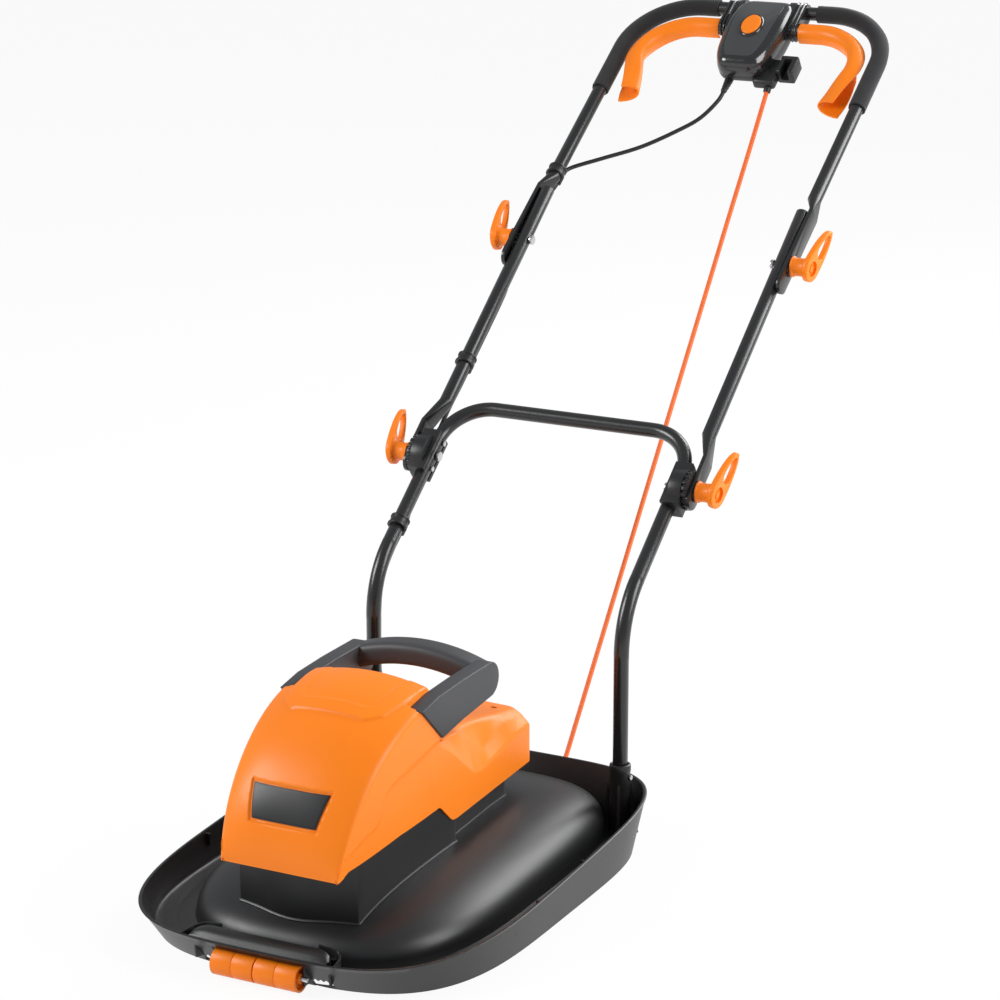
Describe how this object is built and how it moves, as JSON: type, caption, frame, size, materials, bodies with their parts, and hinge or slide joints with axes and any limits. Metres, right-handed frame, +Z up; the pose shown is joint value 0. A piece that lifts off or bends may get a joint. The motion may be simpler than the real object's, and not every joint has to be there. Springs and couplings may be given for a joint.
{
  "type": "hover mower",
  "caption": "Electric hover mower: oval hood with front rollers, shell-covered motor with carry grip, folding tube handle with ratchet joints, wing knobs, switch box and levers.",
  "frame": {"origin": "on the ground below the middle of the length, on the plane of symmetry", "axes": "+Z up, -Y to the front of the deck, +Y towards the operator's handle, +X to the operator's left"},
  "size_m": [0.5479, 1.4602, 0.9525],
  "materials": {
    "orange_plastic": "semi-gloss",
    "black_plastic": "satin",
    "grey_plastic": "satin",
    "tube_paint": "semi-gloss",
    "foam": "matt",
    "bright_steel": "bright",
    "motor_metal": "satin",
    "cord_orange": "satin",
    "cord_black": "satin"
  },
  "bodies": {
    "deck": {"deck_hood": "black_plastic", "roller_bracket": "black_plastic", "roller_axle": "bright_steel", "motor_housing": "black_plastic", "motor_cover": "orange_plastic", "badge_plate": "black_plastic", "cover_screws": "bright_steel", "carry_handle": "grey_plastic", "motor_stator": "motor_metal", "motor_bearings": "bright_steel", "motor_capacitor": "grey_plastic", "lower_handle": "tube_paint", "socket_screws": "bright_steel", "ratchet_block_left": "black_plastic", "ratchet_block_right": "black_plastic", "ratchet_screws": "bright_steel", "lower_joint_bolts": "bright_steel", "cable_clip_low": "black_plastic", "lead_low": "cord_black", "housing_gland": "cord_black"},
    "middle_handle": {"middle_tube_left": "tube_paint", "middle_tube_right": "tube_paint", "ratchet_disc_left": "black_plastic", "ratchet_disc_right": "black_plastic", "upper_joint_bolts": "bright_steel", "lower_joint_washers": "bright_steel", "cable_clip_mid": "black_plastic", "lead_mid": "cord_black"},
    "top_handle": {"upper_handle": "tube_paint", "foam_grip_left": "foam", "foam_grip_right": "foam", "switch_box_top": "black_plastic", "switch_box_base": "black_plastic", "switch_panel": "grey_plastic", "switch_unit": "black_plastic", "cord_hook": "black_plastic", "upper_joint_washers": "bright_steel", "cable_clip_top": "black_plastic", "lead_gland": "cord_black", "lead_top": "cord_black", "cord_gland": "cord_black", "mains_cord": "cord_orange", "cord_coil": "cord_orange", "coil_tie": "cord_black", "plug": "black_plastic"},
    "switch_levers": {"lever_shaft": "bright_steel", "lever_left": "orange_plastic", "lever_right": "orange_plastic"},
    "lock_off": {"lock_button": "orange_plastic"},
    "knob_ll": {"knob_lower_left": "orange_plastic"},
    "knob_lr": {"knob_lower_right": "orange_plastic"},
    "knob_ul": {"knob_upper_left": "orange_plastic"},
    "knob_ur": {"knob_upper_right": "orange_plastic"},
    "roller_l": {"roller_left": "orange_plastic"},
    "roller_r": {"roller_right": "orange_plastic"},
    "rotor": {"armature": "motor_metal", "hover_fan": "black_plastic", "blade_spacer": "black_plastic", "blade": "bright_steel", "blade_bolt": "bright_steel"}
  },
  "joints": [
    {"name": "handle_fold", "type": "hinge", "parent": "deck", "child": "middle_handle", "pos_m": [0, 0.01893, 0.419], "axis": [1, 0, 0], "range_deg": [0, 110]},
    {"name": "upper_fold", "type": "hinge", "parent": "middle_handle", "child": "top_handle", "pos_m": [0, 0.31578, 0.65302], "axis": [1, 0, 0], "range_deg": [0, 60]},
    {"name": "lever_squeeze", "type": "hinge", "parent": "top_handle", "child": "switch_levers", "pos_m": [0, 0.68538, 0.90449], "axis": [-1, 0, 0], "range_deg": [0, 14], "stiffness_Nm_per_rad": 0.8, "springref_deg": -22.92},
    {"name": "lock_press", "type": "slide", "parent": "top_handle", "child": "lock_off", "axis": [0, 0.5736, -0.8192], "range_m": [0, 0.004], "stiffness_N_per_m": 600, "springref_m": -0.001},
    {"name": "knob_turn_lower_left", "type": "hinge", "parent": "deck", "child": "knob_ll", "pos_m": [0, 0.01893, 0.419], "axis": [1, 0, 0], "range_deg": [0, 360]},
    {"name": "knob_turn_lower_right", "type": "hinge", "parent": "deck", "child": "knob_lr", "pos_m": [0, 0.01893, 0.419], "axis": [1, 0, 0], "range_deg": [0, 360]},
    {"name": "knob_turn_upper_left", "type": "hinge", "parent": "middle_handle", "child": "knob_ul", "pos_m": [0, 0.31578, 0.65302], "axis": [1, 0, 0], "range_deg": [0, 360]},
    {"name": "knob_turn_upper_right", "type": "hinge", "parent": "middle_handle", "child": "knob_ur", "pos_m": [0, 0.31578, 0.65302], "axis": [1, 0, 0], "range_deg": [0, 360]},
    {"name": "roller_spin_left", "type": "hinge", "parent": "deck", "child": "roller_l", "pos_m": [0.028, -0.71407, 0.0175], "axis": [1, 0, 0], "continuous": true},
    {"name": "roller_spin_right", "type": "hinge", "parent": "deck", "child": "roller_r", "pos_m": [-0.028, -0.71407, 0.0175], "axis": [1, 0, 0], "continuous": true},
    {"name": "blade_spin", "type": "hinge", "parent": "deck", "child": "rotor", "pos_m": [0, -0.40407, 0.04], "axis": [0, 0, 1], "continuous": true}
  ]
}
